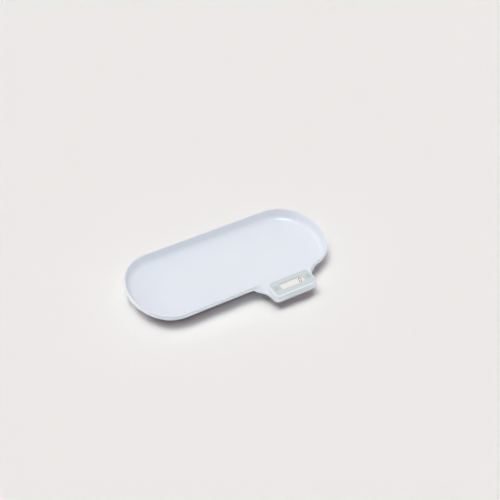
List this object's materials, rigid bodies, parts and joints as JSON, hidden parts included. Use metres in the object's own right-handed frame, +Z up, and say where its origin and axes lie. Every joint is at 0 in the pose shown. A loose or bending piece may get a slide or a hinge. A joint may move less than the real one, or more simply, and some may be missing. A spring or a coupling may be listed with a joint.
{
  "type": "digital baby weighing scale",
  "caption": "Digital baby weighing scale: shallow round-ended tray on load cell feet, with a side console that holds a display and buttons.",
  "frame": {"origin": "under the middle of the whole scale, on the surface it stands on", "axes": "+X along the tray to its right end, +Z up, -Y towards the display console and the user"},
  "size_m": [0.5646, 0.3164, 0.0512],
  "materials": {
    "white_abs": "satin",
    "cover_abs": "fine texture",
    "panel_grey": "satin",
    "button_grey": "satin",
    "clear_acrylic": "polished",
    "lcd_glass": "polished",
    "black_plastic": "matt",
    "conductive_rubber": "matt",
    "circuit_board": "solder mask",
    "ivory_nylon": "matt",
    "battery_jacket": "plain jacket",
    "lead_black": "insulation",
    "lead_red": "insulation",
    "plated_steel": "nickel plated",
    "cell_steel": "ground",
    "foot_plastic": "matt",
    "pad_rubber": "matt"
  },
  "bodies": {
    "scale_body": {"tray_shell": "white_abs", "bottom_cover": "cover_abs", "panel_overlay": "panel_grey", "display_window": "clear_acrylic", "lcd_glass": "lcd_glass", "lcd_bezel": "black_plastic", "zebra_connector": "conductive_rubber", "main_board": "circuit_board", "controller_chip": "black_plastic", "lead_connector": "ivory_nylon", "left_switch_housing": "black_plastic", "right_switch_housing": "black_plastic", "front_battery": "battery_jacket", "rear_battery": "battery_jacket", "front_battery_lead": "lead_black", "rear_battery_lead": "lead_red", "battery_springs": "plated_steel", "battery_plates": "plated_steel", "case_screws": "plated_steel", "board_screws": "plated_steel", "front_left_load_cell": "cell_steel", "front_left_cell_lead": "lead_black", "front_right_load_cell": "cell_steel", "front_right_cell_lead": "lead_black", "rear_left_load_cell": "cell_steel", "rear_left_cell_lead": "lead_black", "rear_right_load_cell": "cell_steel", "rear_right_cell_lead": "lead_black"},
    "left_button": {"left_button_cap": "button_grey", "left_switch_plunger": "ivory_nylon"},
    "right_button": {"right_button_cap": "button_grey", "right_switch_plunger": "ivory_nylon"},
    "battery_door": {"battery_door": "cover_abs"},
    "front_left_foot": {"front_left_foot_carrier": "foot_plastic", "front_left_foot_pad": "pad_rubber"},
    "front_right_foot": {"front_right_foot_carrier": "foot_plastic", "front_right_foot_pad": "pad_rubber"},
    "rear_left_foot": {"rear_left_foot_carrier": "foot_plastic", "rear_left_foot_pad": "pad_rubber"},
    "rear_right_foot": {"rear_right_foot_carrier": "foot_plastic", "rear_right_foot_pad": "pad_rubber"}
  },
  "joints": [
    {"name": "left_button_press", "type": "slide", "parent": "scale_body", "child": "left_button", "axis": [0, 0, -1], "range_m": [0, 0.0005], "stiffness_N_per_m": 3000},
    {"name": "right_button_press", "type": "slide", "parent": "scale_body", "child": "right_button", "axis": [0, 0, -1], "range_m": [0, 0.0005], "stiffness_N_per_m": 3000},
    {"name": "battery_door_hinge", "type": "hinge", "parent": "scale_body", "child": "battery_door", "pos_m": [-0.0469, 0.0318, 0.006], "axis": [0, 1, 0], "range_deg": [0, 100]},
    {"name": "front_left_foot_travel", "type": "slide", "parent": "scale_body", "child": "front_left_foot", "axis": [0, 0, 1], "range_m": [0, 0.0004], "stiffness_N_per_m": 50000, "deforming": ["front_left_load_cell"]},
    {"name": "front_right_foot_travel", "type": "slide", "parent": "scale_body", "child": "front_right_foot", "axis": [0, 0, 1], "range_m": [0, 0.0004], "stiffness_N_per_m": 50000, "deforming": ["front_right_load_cell"]},
    {"name": "rear_left_foot_travel", "type": "slide", "parent": "scale_body", "child": "rear_left_foot", "axis": [0, 0, 1], "range_m": [0, 0.0004], "stiffness_N_per_m": 50000, "deforming": ["rear_left_load_cell"]},
    {"name": "rear_right_foot_travel", "type": "slide", "parent": "scale_body", "child": "rear_right_foot", "axis": [0, 0, 1], "range_m": [0, 0.0004], "stiffness_N_per_m": 50000, "deforming": ["rear_right_load_cell"]}
  ]
}
